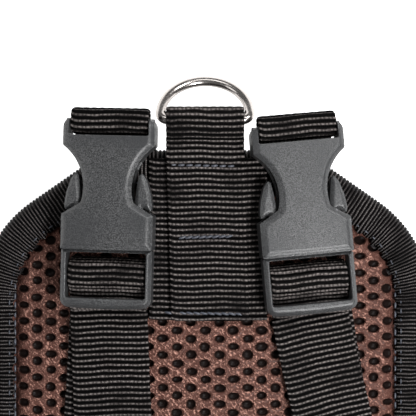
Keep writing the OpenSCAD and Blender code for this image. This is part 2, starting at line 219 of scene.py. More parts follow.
def back_circles(inset=0.0):
    return both_sides([
        (BACK_HALF_W * 0.33, -25, 25 - inset),
        (BACK_HALF_W - 38, -48, 38 - inset),
        (BACK_HALF_W - 34, -BACK_LEN + 34, 34 - inset)])


def chest_circles(inset=0.0):
    return both_sides([
        (CHEST_HALF_W * 0.32, -CHEST_DROP - 26, 26 - inset),
        (CHEST_HALF_W - 24, -CHEST_DROP - 84, 24 - inset),
        (CHEST_HALF_W - 20, -CHEST_DROP - CHEST_LEN + 20, 20 - inset)])


def smoothstep(low, high, value):
    t = np.clip((value - low) / (high - low), 0, 1)
    return t * t * (3 - 2 * t)


# ---------- meshes ----------

def make_piece(name, points, faces, material, body, uv=None, masks=None):
    """A smooth-shaded mesh of row-frame points that rides on a body."""
    mesh = bpy.data.meshes.new(name)
    mesh.from_pydata(np.asarray(points, float).reshape(-1, 3).tolist(), [], faces)
    mesh.polygons.foreach_set("use_smooth", [True] * len(mesh.polygons))
    if uv is not None:
        corner = np.empty(len(mesh.loops), np.int32)
        mesh.loops.foreach_get("vertex_index", corner)
        layer = mesh.uv_layers.new(name="weave")
        layer.data.foreach_set("uv", np.asarray(uv, np.float32)[corner].ravel())
    for mask, values in (masks or {}).items():
        mesh.attributes.new(mask, "FLOAT", "POINT").data.foreach_set(
            "value", np.asarray(values, np.float32).ravel())
    mesh.materials.append(material)
    piece = bpy.data.objects.new(name, mesh)
    bpy.context.scene.collection.objects.link(piece)
    turned = bmesh.new()
    turned.from_mesh(mesh)
    bmesh.ops.recalc_face_normals(turned, faces=turned.faces)
    turned.to_mesh(mesh)
    turned.free()
    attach(piece, body)
    return piece


def grid_faces(rows, columns, wrap_rows=False, wrap_columns=True):
    i = np.arange(rows if wrap_rows else rows - 1)[:, None]
    j = np.arange(columns if wrap_columns else columns - 1)[None, :]
    i2, j2 = (i + 1) % rows, (j + 1) % columns
    quads = np.stack(np.broadcast_arrays(
        i * columns + j, i * columns + j2, i2 * columns + j2, i2 * columns + j), -1)
    return quads.reshape(-1, 4).tolist()


def strap_section(width, thickness):
    """Across, height and face side of a webbing's section, as one closed loop."""
    edge = 0.8
    a = np.radians([90, 68, 45, 22])
    flat = np.linspace(-width / 2 + edge, width / 2 - edge, int(width / 0.62))
    low = np.linspace(width / 2 - edge, -width / 2 + edge, 12)
    left = -(width / 2 - edge) - edge * np.sin(a)
    right = (width / 2 - edge) + edge * np.sin(a[::-1])
    u = np.concatenate([left, flat, right, right[::-1][1:], low, left[::-1][:-1]])
    fall = np.concatenate([np.cos(a), np.ones(len(flat)), np.cos(a[::-1])])
    fall_low = np.concatenate([np.cos(a)[1:], np.ones(len(low)), np.cos(a[::-1])[:-1]])
    height = np.concatenate([fall, -fall_low]) * thickness / 2
    return u, height


def strap(name, place, length, body, width=WEB_W, thickness=WEB_T, pitch=RIB_PITCH,
          depth=RIB_DEPTH, relief=None, material=None):
    """Ribbed webbing: place(s, u, h) gives the point s along, u across and h over its middle."""
    rows = max(2, round(length / pitch)) * 7 + 1
    s = np.linspace(0, length, rows)[:, None]
    u, height = (v[None, :] for v in strap_section(width, thickness))
    rib = np.abs(np.sin(math.pi * s / pitch)) ** 0.75
    row = np.floor(s / pitch)
    dash = 0.5 + 0.5 * np.cos(2 * math.pi * (u / 2.6 + 0.5 * (row % 2)))
    face = height / (thickness / 2)
    h = height + face * (depth * (rib - 1) - 0.09 * dash * rib)
    wander = 0.10 * np.sin(row * 2.4 + 0.7) + 0.07 * np.sin(row * 5.3)
    across = u * (1 + 0.012 * (rib - 0.5) + wander / width)
    along = s + 0.16 * np.sin(u * 0.31 + s * 0.05) + 0.35 * smoothstep(width / 2 - 1.6, width / 2, -u)
    along = np.clip(along, 0, length)
    if relief is not None:
        h = h + relief(s, u)
    points = place(along, across, h)
    faces = grid_faces(rows, u.shape[1])
    count = u.shape[1]
    faces.append(list(range(count)))
    faces.append(list(range((rows - 1) * count, rows * count)))
    uv = np.stack(np.broadcast_arrays(u, s), -1).reshape(-1, 2) * MM
    return make_piece(name, points, faces, material or webbing_cloth, body, uv=uv)


def strap_along(name, matrix, path, body, lean=None, reach=0.6, **options):
    """Webbing whose path lies in a frame's Y and Z, its width along the frame's X."""
    length, at = path_reader(softened(path, reach=reach))

    def place(s, u, h):
        point, normal = at(s)
        y = point[..., 0] + normal[..., 0] * h
        z = point[..., 1] + normal[..., 1] * h
        x = np.broadcast_to(u, y.shape) + (lean(y) if lean else 0)
        return carried(matrix, np.stack([x, y, z], -1))

    return strap(name, place, length, body, **options)


def strap_on_panel(name, line, height, body, **options):
    """Webbing that lies on the arch along a middle line."""
    length, at = path_reader(np.asarray(line, float))
    middle = height + WEB_T / 2

    def place(s, u, h):
        point, normal = at(s)
        return over_dome(point[..., 0] - normal[..., 0] * u, point[..., 1] - normal[..., 1] * u, middle + h)

    return strap(name, place, length, body, **options)


# ---------- shader node groups ----------

class Nodes:
    """Shorthand for placing and wiring shader nodes in a tree."""

    def __init__(self, tree):
        self.tree = tree

    def add(self, kind, **settings):
        node = self.tree.nodes.new(kind)
        for key, value in settings.items():
            setattr(node, key, value)
        return node

    def link(self, out, into):
        self.tree.links.new(out, into)

    def put(self, socket, value):
        if isinstance(value, bpy.types.NodeSocket):
            self.link(value, socket)
        else:
            socket.default_value = value

    def sum(self, operation, a, b=0.0, c=0.0, clamp=False):
        node = self.add("ShaderNodeMath", operation=operation, use_clamp=clamp)
        for socket, value in zip(node.inputs, (a, b, c)):
            self.put(socket, value)
        return node.outputs[0]

    def ramp(self, value, low, high, smooth=True):
        node = self.add("ShaderNodeMapRange", clamp=True)
        node.interpolation_type = "SMOOTHSTEP" if smooth else "LINEAR"
        for name, v in (("Value", value), ("From Min", low), ("From Max", high)):
            self.put(node.inputs[name], v)
        return node.outputs["Result"]

    def blend(self, share, a, b, kind="MIX"):
        node = self.add("ShaderNodeMix", data_type="RGBA", blend_type=kind)
        for socket, value in ((node.inputs[0], share), (node.inputs[6], a), (node.inputs[7], b)):
            self.put(socket, value)
        return node.outputs[2]

    def noise(self, where, scale, detail=2.0, rough=0.5):
        node = self.add("ShaderNodeTexNoise")
        self.put(node.inputs["Vector"], where)
        for name, v in (("Scale", scale), ("Detail", detail), ("Roughness", rough)):
            self.put(node.inputs[name], v)
        return node.outputs["Fac"]

    def bump(self, height, strength, distance, normal=None):
        node = self.add("ShaderNodeBump")
        for name, v in (("Height", height), ("Strength", strength), ("Distance", distance)):
            self.put(node.inputs[name], v)
        if normal is not None:
            self.link(normal, node.inputs["Normal"])
        return node.outputs["Normal"]


def effect(name, inputs, outputs):
    """An empty node group with float inputs and named outputs."""
    tree = bpy.data.node_groups.new(name, "ShaderNodeTree")
    for label, value in inputs.items():
        tree.interface.new_socket(
            name=label, in_out="INPUT", socket_type="NodeSocketFloat").default_value = value
    for label, kind in outputs.items():
        tree.interface.new_socket(name=label, in_out="OUTPUT", socket_type=kind)
    return tree, Nodes(tree), tree.nodes.new("NodeGroupInput"), tree.nodes.new("NodeGroupOutput")


def use_effect(nodes, group, **values):
    node = nodes.add("ShaderNodeGroup", node_tree=group)
    for label, value in values.items():
        nodes.put(node.inputs[label.replace("_", " ")], value)
    return node.outputs


def rib_threads_group():
    """Threads of a ribbed weave, read from the piece's own weave lengths in metres."""
    tree, n, given, out = effect(
        "rib_threads", {"Rib Pitch": 0.00175, "Thread Pitch": 0.00065, "Dash Pitch": 0.0026},
        {"Crest": "NodeSocketFloat", "Rise": "NodeSocketFloat", "Thread": "NodeSocketFloat",
         "Dash": "NodeSocketFloat", "Fibre": "NodeSocketFloat"})
    weave = n.add("ShaderNodeUVMap", uv_map="weave").outputs[0]
    parts = n.add("ShaderNodeSeparateXYZ")
    n.link(weave, parts.inputs[0])
    across, along = parts.outputs[0], parts.outputs[1]
    wobble = n.noise(weave, 260.0, 1.0)
    along = n.sum("MULTIPLY_ADD", wobble, 0.0005, along)
    count = n.sum("DIVIDE", along, given.outputs["Rib Pitch"])
    wave = n.sum("ABSOLUTE", n.sum("SINE", n.sum("MULTIPLY", count, math.pi)))
    n.link(n.ramp(wave, 0.8, 1.0), out.inputs["Crest"])
    n.link(n.ramp(wave, 0.35, 0.95), out.inputs["Rise"])
    row = n.sum("MODULO", n.sum("FLOOR", count), 2.0)
    turns = n.sum("MULTIPLY_ADD", row, 0.5, n.sum("DIVIDE", across, given.outputs["Dash Pitch"]))
    dash = n.sum("COSINE", n.sum("MULTIPLY", turns, 2 * math.pi))
    tick = n.sum("COSINE", n.sum("MULTIPLY", n.sum("MULTIPLY", turns, 2.0), 2 * math.pi))
    n.link(
        n.sum("MULTIPLY_ADD", n.ramp(dash, -0.8, 0.3), 0.35, n.sum("MULTIPLY", n.ramp(tick, -0.4, 0.6), 0.65)),
        out.inputs["Dash"])
    threads = n.sum("DIVIDE", n.sum("MULTIPLY_ADD", along, 0.35, across), given.outputs["Thread Pitch"])
    n.link(n.sum("ABSOLUTE", n.sum("SINE", n.sum("MULTIPLY", threads, math.pi))), out.inputs["Thread"])
    stretched = n.add("ShaderNodeVectorMath", operation="MULTIPLY")
    n.link(weave, stretched.inputs[0])
    stretched.inputs[1].default_value = (700.0, 4200.0, 1.0)
    n.link(n.noise(stretched.outputs[0], 1.0, 2.0), out.inputs["Fibre"])
    return tree


def edge_wear_and_highlight_group():
    """Where edges stand out, broken up into rubbed-looking patches: wear on the nickel, a painted highlight on
    the buckles' edges.
    """
    tree, n, given, out = effect(
        "edge_wear_and_highlight", {"Low": 0.52, "High": 0.6, "Patch Scale": 220.0}, {"Wear_And_Highlight": "NodeSocketFloat"})
    point = n.add("ShaderNodeTexCoord").outputs["Object"]
    edge = n.ramp(
        n.add("ShaderNodeNewGeometry").outputs["Pointiness"], given.outputs["Low"], given.outputs["High"])
    patch = n.ramp(n.noise(point, given.outputs["Patch Scale"], 3.0), 0.35, 0.65)
    n.link(n.sum("MULTIPLY", edge, patch), out.inputs["Wear_And_Highlight"])
    return tree


def grain_group():
    """Fine pitting and slow unevenness for moulded, cast and knitted surfaces."""
    tree, n, given, out = effect(
        "grain", {"Fine Scale": 3200.0, "Broad Scale": 60.0},
        {"Fine": "NodeSocketFloat", "Broad": "NodeSocketFloat"})
    point = n.add("ShaderNodeTexCoord").outputs["Object"]
    n.link(n.noise(point, given.outputs["Fine Scale"], 3.0, 0.6), out.inputs["Fine"])
    n.link(n.noise(point, given.outputs["Broad Scale"], 2.0), out.inputs["Broad"])
    return tree


def knit_loops_group():
    """Loops of a knitted face: crossing yarns that curl round one another."""
    tree, n, given, out = effect(
        "knit_loops", {"Loop Scale": 1150.0, "Curl": 5.0},
        {"Loops": "NodeSocketFloat", "Cells": "NodeSocketFloat"})
    point = n.add("ShaderNodeTexCoord").outputs["Object"]
    drift = n.add("ShaderNodeTexNoise")
    n.link(point, drift.inputs["Vector"])
    drift.inputs["Scale"].default_value = 900.0
    moved = n.add("ShaderNodeVectorMath", operation="MULTIPLY_ADD")
    n.link(drift.outputs["Color"], moved.inputs[0])
    moved.inputs[1].default_value = (0.0012, 0.0012, 0.0012)
    n.link(point, moved.inputs[2])
    wave = n.add("ShaderNodeTexWave", wave_type="BANDS", bands_direction="DIAGONAL")
    n.link(moved.outputs[0], wave.inputs["Vector"])
    n.link(n.sum("MULTIPLY", given.outputs["Loop Scale"], 0.32), wave.inputs["Scale"])
    n.link(given.outputs["Curl"], wave.inputs["Distortion"])
    wave.inputs["Detail"].default_value = 1.0
    cells = n.add("ShaderNodeTexVoronoi", feature="F1")
    n.link(moved.outputs[0], cells.inputs["Vector"])
    n.link(given.outputs["Loop Scale"], cells.inputs["Scale"])
    n.link(wave.outputs["Fac"], out.inputs["Loops"])
    n.link(n.ramp(cells.outputs["Distance"], 0.05, 0.55), out.inputs["Cells"])
    return tree


rib_threads = rib_threads_group()
edge_wear_and_highlight = edge_wear_and_highlight_group()
grain = grain_group()
knit_loops = knit_loops_group()


# ---------- materials ----------

def new_material(name, **constants):
    material = bpy.data.materials.new(name)
    material.use_nodes = True
    nodes = Nodes(material.node_tree)
    shader = material.node_tree.nodes["Principled BSDF"]
    for label, value in constants.items():
        shader.inputs[label.replace("_", " ")].default_value = value
    return material, nodes, shader


def ribbed_material(name, shadow, cloth, crest_highlight, rib_pitch, dash_pitch, fuzz=0.0):
    """Black ribbed weave: painted shade makes it dark between the ribs, and a painted highlight makes the
    threads paler along the crests.
    """
    material, n, shader = new_material(
        name, Specular_IOR_Level=0.025, Sheen_Weight=fuzz, Sheen_Roughness=0.4,
        Sheen_Tint=(0.75, 0.72, 0.7, 1))
    threads = use_effect(n, rib_threads, Rib_Pitch=rib_pitch, Dash_Pitch=dash_pitch)
    broad = use_effect(n, grain, Broad_Scale=90.0)["Broad"]
    # painted highlight: paler dashes along the rib crests, broken up by fibre and broad noise
    dash = n.sum("MULTIPLY", threads["Crest"], n.ramp(threads["Dash"], -0.25, 0.9))
    crest_highlight_mask = n.sum("MULTIPLY", dash, n.ramp(threads["Fibre"], 0.2, 0.55))
    crest_highlight_mask = n.sum("MULTIPLY", crest_highlight_mask, n.ramp(broad, 0.15, 0.6))
    # painted shade: the cloth darkens to the shadow colour down between the ribs
    raised = n.sum("MULTIPLY", threads["Rise"], n.ramp(threads["Thread"], -0.6, 0.9))
    colour = n.blend(raised, shadow, cloth)
    colour = n.blend(crest_highlight_mask, colour, crest_highlight)
    n.link(colour, shader.inputs["Base Color"])
    n.link(n.sum("MULTIPLY_ADD", threads["Fibre"], 0.3, 0.38), shader.inputs["Roughness"])
    height = n.sum("MULTIPLY_ADD", threads["Thread"], 0.6, threads["Fibre"])
    n.link(n.bump(height, 0.8, 0.00012), shader.inputs["Normal"])
    return material


def air_mesh_material():
    """Brown spacer mesh: tan knitted loops on the face, with painted shade along its seams, where it tucks
    under the binding and towards the sides, and near-black painted shade down the holes.
    """
    material, n, shader = new_material(
        "brown_air_mesh", Sheen_Weight=0.0, Specular_IOR_Level=0.08, Sheen_Roughness=0.5,
        Sheen_Tint=(0.9, 0.7, 0.6, 1))
    knit = use_effect(n, knit_loops)
    down = n.add("ShaderNodeAttribute", attribute_name="painted_hole_shade").outputs["Fac"]
    shade = n.add("ShaderNodeAttribute", attribute_name="face_shade_and_tone").outputs["Fac"]
    broad = use_effect(n, grain, Fine_Scale=1100.0, Broad_Scale=45.0)
    cell = n.sum("SUBTRACT", 1.0, knit["Cells"])
    yarn = n.sum("MULTIPLY_ADD", n.ramp(knit["Loops"], 0.3, 0.8), 0.6, n.sum("MULTIPLY", cell, 0.7))
    yarn = n.sum("MULTIPLY", yarn, n.ramp(broad["Fine"], 0.42, 0.62), clamp=True)
    low = n.blend(broad["Broad"], (0.055, 0.024, 0.019, 1), (0.1, 0.044, 0.034, 1))
    # painted shade: the loops' colour darkens along the seams, under the binding's edge and towards the sides,
    # with some random tone
    high = n.blend(shade, (0.2, 0.09, 0.07, 1), (0.85, 0.47, 0.37, 1))
    colour = n.blend(yarn, low, high)
    # painted shade: near-black down the holes
    colour = n.blend(down, colour, (0.007, 0.004, 0.0035, 1))
    n.link(colour, shader.inputs["Base Color"])
    n.link(n.ramp(yarn, -1.6, 2.6, False), shader.inputs["Roughness"])
    height = n.sum("MULTIPLY", yarn, n.sum("SUBTRACT", 1.0, down))
    n.link(n.bump(height, 1.0, 0.0004), shader.inputs["Normal"])
    return material


def lining_material():
    """Smooth dark knit on the side towards the wearer."""
    material, n, shader = new_material("dark_lining", Specular_IOR_Level=0.15, Roughness=0.85)
    knit = use_effect(n, knit_loops, Loop_Scale=2200.0, Curl=1.0)
    broad = use_effect(n, grain, Broad_Scale=30.0)["Broad"]
    base = n.blend(broad, (0.012, 0.011, 0.012, 1), (0.024, 0.022, 0.023, 1))
    n.link(
        n.blend(n.ramp(knit["Loops"], 0.5, 1.0), base, (0.055, 0.05, 0.05, 1)), shader.inputs["Base Color"])
    n.link(n.bump(knit["Loops"], 0.6, 0.00015), shader.inputs["Normal"])
    return material


def buckle_material():
    """Matte moulded plastic with a fine spark-eroded grain, and a painted highlight that makes its edges paler
    in rubbed-looking patches.
    """
    material, n, shader = new_material("grained_plastic", Specular_IOR_Level=0.5)
    texture = use_effect(n, grain, Fine_Scale=2600.0, Broad_Scale=40.0)
    wear_and_highlight = use_effect(n, edge_wear_and_highlight, Low=0.53, High=0.62)["Wear_And_Highlight"]
    speck = n.ramp(texture["Fine"], 0.35, 0.68)
    base = n.blend(speck, (0.013, 0.0133, 0.014, 1), (0.09, 0.091, 0.093, 1))
    base = n.blend(n.ramp(texture["Broad"], 0.3, 0.7), base, (0.03, 0.031, 0.033, 1))
    # painted highlight: paler grey along the pointy edges
    n.link(n.blend(n.sum("MULTIPLY", wear_and_highlight, 0.55), base, (0.19, 0.19, 0.2, 1)), shader.inputs["Base Color"])
    n.link(n.sum("MULTIPLY_ADD", speck, 0.12, 0.3), shader.inputs["Roughness"])
    n.link(n.bump(texture["Fine"], 0.8, 0.00012), shader.inputs["Normal"])
    return material


def nickel_material():
    """Polished nickel plating with faint rubbing marks."""
    material, n, shader = new_material("polished_nickel", Metallic=1.0)
    texture = use_effect(n, grain, Fine_Scale=900.0, Broad_Scale=120.0)
    wear_and_highlight = use_effect(n, edge_wear_and_highlight, Patch_Scale=400.0)["Wear_And_Highlight"]
    base = n.blend(texture["Broad"], (0.36, 0.33, 0.31, 1), (0.5, 0.47, 0.45, 1))
    n.link(n.blend(wear_and_highlight, base, (0.36, 0.31, 0.28, 1)), shader.inputs["Base Color"])
    n.link(n.ramp(texture["Fine"], -0.35, 3.4, False), shader.inputs["Roughness"])
    n.link(n.bump(texture["Fine"], 0.06, 0.00003), shader.inputs["Normal"])
    return material


def thread_material():
    """Bonded sewing thread, blue-black, with its twist."""
    material, n, shader = new_material("sewing_thread", Specular_IOR_Level=0.6)
    texture = use_effect(n, grain, Fine_Scale=2400.0, Broad_Scale=300.0)
    n.link(
        n.blend(texture["Fine"], (0.016, 0.018, 0.024, 1), (0.075, 0.082, 0.105, 1)),
        shader.inputs["Base Color"])
    n.link(n.ramp(texture["Broad"], -0.9, 2.0, False), shader.inputs["Roughness"])
    n.link(n.bump(texture["Fine"], 0.6, 0.0001), shader.inputs["Normal"])
    return material


def floor_material():
    material, n, shader = new_material(
        "pale_floor", Roughness=0.9, Specular_IOR_Level=0.1,
        Emission_Color=(1, 1, 1, 1), Emission_Strength=0.8)
    broad = use_effect(n, grain, Fine_Scale=600.0, Broad_Scale=4.0)["Broad"]
    n.link(n.blend(broad, (0.93, 0.93, 0.93, 1), (0.96, 0.96, 0.96, 1)), shader.inputs["Base Color"])
    return material


# Each weave's colours: painted shade between the ribs, the cloth's own colour, then the painted highlight on
# the crests.
webbing_cloth = ribbed_material(
    "black_webbing", (0.001, 0.001, 0.001, 1), (0.011, 0.0093, 0.0092, 1), (0.19, 0.168, 0.16, 1),
    1.75 * MM, 2.6 * MM)
binding_cloth = ribbed_material(
    "binding_tape", (0.001, 0.001, 0.001, 1), (0.009, 0.0078, 0.008, 1), (0.15, 0.136, 0.132, 1),
    1.22 * MM, 1.3 * MM)
air_mesh = air_mesh_material()
lining_knit = lining_material()
buckle_plastic = buckle_material()
nickel = nickel_material()
thread = thread_material()


# ---------- panels ----------

def padded_core(name, circles, low_h, high_h, body, replaced):
    """A foam pad under its knit: swollen by a short cloth simulation and held at its rim."""
    outline = rounded_hull(circles, 3.0)[0]
    middle = outline.mean(0)
    shares = np.array([1.0, 0.97, 0.9, 0.78, 0.62, 0.45, 0.28, 0.12])
    rings = [middle + (outline - middle) * share for share in shares]
    count = len(outline)
    levels = [(ring, high_h if k else (high_h + low_h) / 2) for k, ring in enumerate(rings)]
    under = [(ring, low_h) for ring in rings[1:]]
    tiers = levels[::-1] + under
    points = np.concatenate([over_dome(ring[:, 0], ring[:, 1], h) for ring, h in tiers]
                            + [over_dome(middle[0], middle[1], h)[None] for h in (high_h, low_h)])
    faces = grid_faces(len(tiers), count)
    last = len(tiers) * count
    for k in range(count):
        faces.append([k, (k + 1) % count, last])
        faces.append([last - count + k, last - count + (k + 1) % count, last + 1])
    pad = make_piece(name, points, faces, lining_knit, body)
    bpy.context.view_layer.objects.active = pad
    rest = swell(pad, outline)
    cap_swelling(pad, rest, 2.2 * MM)
    smoothing = pad.modifiers.new("rounding", "SUBSURF")
    smoothing.levels = smoothing.render_levels = 1
    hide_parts(*replaced)
    return pad


def apply_modifiers(piece):
    graph = bpy.context.evaluated_depsgraph_get()
    shaped = bpy.data.meshes.new_from_object(piece.evaluated_get(graph), depsgraph=graph)
    piece.modifiers.clear()
    piece.data = shaped


def swell(pad, outline):
    """Remeshes the pad evenly and lets pressure fill it; returns its points before the swelling."""
    even = pad.modifiers.new("even", "REMESH")
    even.mode = "VOXEL"
    even.voxel_size = 4.5 * MM
    apply_modifiers(pad)
    mesh = pad.data
    mesh.polygons.foreach_set("use_smooth", [True] * len(mesh.polygons))
    rest = np.array([v.co for v in mesh.vertices])
    near = rest[:, None, :2] / MM - [0, TOP_Y] - outline[None, :, :]
    to_rim = np.linalg.norm(near, axis=-1).min(1)
    held = pad.vertex_groups.new(name="held")
    for v, distance in enumerate(to_rim):
        held.add([v], float(1 - smoothstep(4, 14, distance)), "REPLACE")
    cloth = pad.modifiers.new("swelling", "CLOTH")
    cloth.settings.vertex_group_mass = "held"
    cloth.settings.use_pressure = True
    cloth.settings.uniform_pressure_force = 4.0
    cloth.settings.effector_weights.gravity = 0.0
    cloth.settings.quality = 5
    cloth.point_cache.frame_start, cloth.point_cache.frame_end = 1, 20
    for step in range(1, 21):
        bpy.context.scene.frame_set(step)
        bpy.context.view_layer.update()
    apply_modifiers(pad)
    bpy.context.scene.frame_set(1)
    return rest


def cap_swelling(pad, rest, most):
    mesh = pad.data
    now = np.array([v.co for v in mesh.vertices])
    moved = now - rest
    size = np.maximum(np.linalg.norm(moved, axis=1), 1e-9)
    now = rest + moved * (np.minimum(size, most) / size)[:, None]
    mesh.vertices.foreach_set("co", now.astype(np.float32).ravel())
    mesh.update()


def height_over(pad, x, y, upwards):
    """How far the pad's face stands over the arch at each place, smoothly sampled on a coarse grid."""
    graph = bpy.context.evaluated_depsgraph_get()
    tree = BVHTree.FromObject(pad, graph)
    gx = np.arange(x.min() - 4, x.max() + 8, 4.0)
    gy = np.arange(y.min() - 4, y.max() + 8, 4.0)
    heights = np.full((len(gx), len(gy)), np.nan)
    for i, a in enumerate(gx):
        for j, b in enumerate(gy):
            start = Vector((a * MM, (b + TOP_Y) * MM, 0.2 if upwards else -0.2))
            hit = tree.ray_cast(start, Vector((0, 0, -1 if upwards else 1)))
            if hit[0] is not None:
                heights[i, j] = math.hypot(hit[0].x / MM, hit[0].z / MM - AXIS_Z) - DOME_R
    heights = np.where(np.isnan(heights), np.nanmedian(heights), heights)
    fx, fy = (x - gx[0]) / 4.0, (y - gy[0]) / 4.0
    i, j = fx.astype(int), fy.astype(int)
    u, v = fx - i, fy - j
    return ((1 - u) * (1 - v) * heights[i, j] + u * (1 - v) * heights[i + 1, j]
            + (1 - u) * v * heights[i, j + 1] + u * v * heights[i + 1, j + 1])


def distance_to(outline, x, y):
    """How far inside the outline each place is; negative outside."""
    flat = np.stack([np.ravel(x), np.ravel(y)], -1)
    out = np.empty(len(flat))
    way = np.roll(outline, -1, 0) - np.roll(outline, 1, 0)
    for k in range(0, len(flat), 20000):
        gap = flat[k:k + 20000, None, :] - outline[None, :, :]
        near = np.linalg.norm(gap, axis=-1)
        best = near.argmin(1)
        row = np.arange(len(best))
        turn = way[best, 0] * gap[row, best, 1] - way[best, 1] * gap[row, best, 0]
        out[k:k + 20000] = near[row, best] * np.sign(turn)
    return out.reshape(np.shape(x))


def hex_radius(angle, size):
    return size * math.cos(math.pi / 6) / np.cos(np.mod(angle, math.pi / 3) - math.pi / 6)


def air_mesh_face(name, circles, pad, face_h, floor_h, outwards, body, replaced):
    """Spacer mesh with a staggered pattern of open holes, laid over a pad."""
    outline = rounded_hull(circles, 1.0)[0]
    low, high = outline.min(0), outline.max(0)
    size = HOLE_COLUMN / 1.5
    angles = np.radians(np.arange(0, 360, 20))
    steps = len(angles)
    columns = np.arange(int(low[0] / HOLE_COLUMN) - 1, int(high[0] / HOLE_COLUMN) + 2)
    rows = np.arange(int(low[1] / HOLE_ROW) - 1, int(high[1] / HOLE_ROW) + 2)
    ci, cj = (v.ravel() for v in np.meshgrid(columns, rows, indexing="ij"))
    centre = np.stack([ci * HOLE_COLUMN, cj * HOLE_ROW + (ci % 2) * HOLE_ROW / 2], -1)
    centre = centre[distance_to(outline, centre[:, 0], centre[:, 1]) > 3.6]
    count = len(centre)
    wide = 1.86 * (1 + 0.07 * rng.standard_normal(count))[:, None]
    tall = 1.38 * (1 + 0.09 * rng.standard_normal(count))[:, None]
    tilt = 0.12 * rng.standard_normal(count)[:, None]
    shift = 0.13 * rng.standard_normal((count, 2))
    hole_x = np.sign(np.cos(angles)) * np.abs(np.cos(angles)) ** 0.9
    hole_y = np.sign(np.sin(angles)) * np.abs(np.sin(angles)) ** 0.95
    hole = np.stack([wide * hole_x - tilt * hole_y, tall * hole_y + tilt * hole_x], -1)
    wall = np.stack([np.cos(angles), np.sin(angles)], -1) * hex_radius(angles, size)[:, None]
    rings, depths = [], []
    for share, grow, depth in ((1.0, 0.0, 0.0), (0.45, 0.68, 0.3), (0.0, 1.16, 0.2), (0.0, 1.0, -0.1),
                               (0.0, 0.90, -0.75), (0.0, 0.72, -1.45), (0.0, 0.02, -1.6)):
        ring = share * wall[None] + grow * (hole + shift[:, None, :] if share < 1 else hole)
        rings.append(ring)
        depths.append(np.full((count, steps), depth)
                      + (0.16 * rng.standard_normal((count, steps)) if 0 < share < 1 else 0))
    plan = np.stack(rings, 1) + centre[:, None, None, :]
    depth = np.stack(depths, 1)
    x, y = plan[..., 0].ravel(), plan[..., 1].ravel()
    inside = distance_to(outline, x, y)
    puff = height_over(pad, x, y, outwards > 0)
    puff = np.clip((puff - floor_h) * outwards, -0.6, 1.3)
    seam = (np.exp(-((np.abs(x) - SEAM_X * (low[0] / -BACK_HALF_W if outwards < 0 else 1)) / 1.5) ** 2)
            * smoothstep(-34, -40, y))
    tuck = smoothstep(15.0, 11.0, inside)
    swell_h = 0.65 * puff - 1.1 * seam - 2.0 * tuck
    h = face_h + outwards * (swell_h + depth.ravel() * (1 - 0.5 * seam))
    points = over_dome(x, y, h)
    # painted shade down the holes, deepening with the hole's depth
    down = smoothstep(-0.05, -0.95, depth.ravel())
    # painted shade on the face: darker along the sewn seams, where it tucks under the binding and towards the
    # sides, plus random tone
    shade_and_tone = np.clip(0.62 - 0.35 * seam - 0.6 * tuck - 0.35 * smoothstep(40, 66, np.abs(x))
                   + 0.1 * rng.standard_normal(len(x)), 0, 1)
    per_cell = 7 * steps
    base = (np.arange(count) * per_cell)[:, None, None]
    ring_at = (np.arange(6) * steps)[None, :, None]
    j = np.arange(steps)[None, None, :]
    j2 = (j + 1) % steps
    quads = np.stack(np.broadcast_arrays(
        base + ring_at + j, base + ring_at + j2, base + ring_at + steps + j2, base + ring_at + steps + j), -1)
    piece = make_piece(name, points, quads.reshape(-1, 4).tolist(), air_mesh, body,
                       masks={"painted_hole_shade": down, "face_shade_and_tone": shade_and_tone})
    joined = bmesh.new()
    joined.from_mesh(piece.data)
    bmesh.ops.remove_doubles(joined, verts=joined.verts, dist=0.02 * MM)
    bmesh.ops.recalc_face_normals(joined, faces=joined.faces)
    joined.to_mesh(piece.data)
    joined.free()
    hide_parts(*replaced)
    return piece


def flatness(x, y):
    """Where straps or buckles press the binding flat."""
    middle = smoothstep(26, 20, np.abs(x - 1)) * smoothstep(-30, -20, y)
    band = smoothstep(18, 13, np.abs(y - BAND_Y))
    return np.maximum(middle, band)


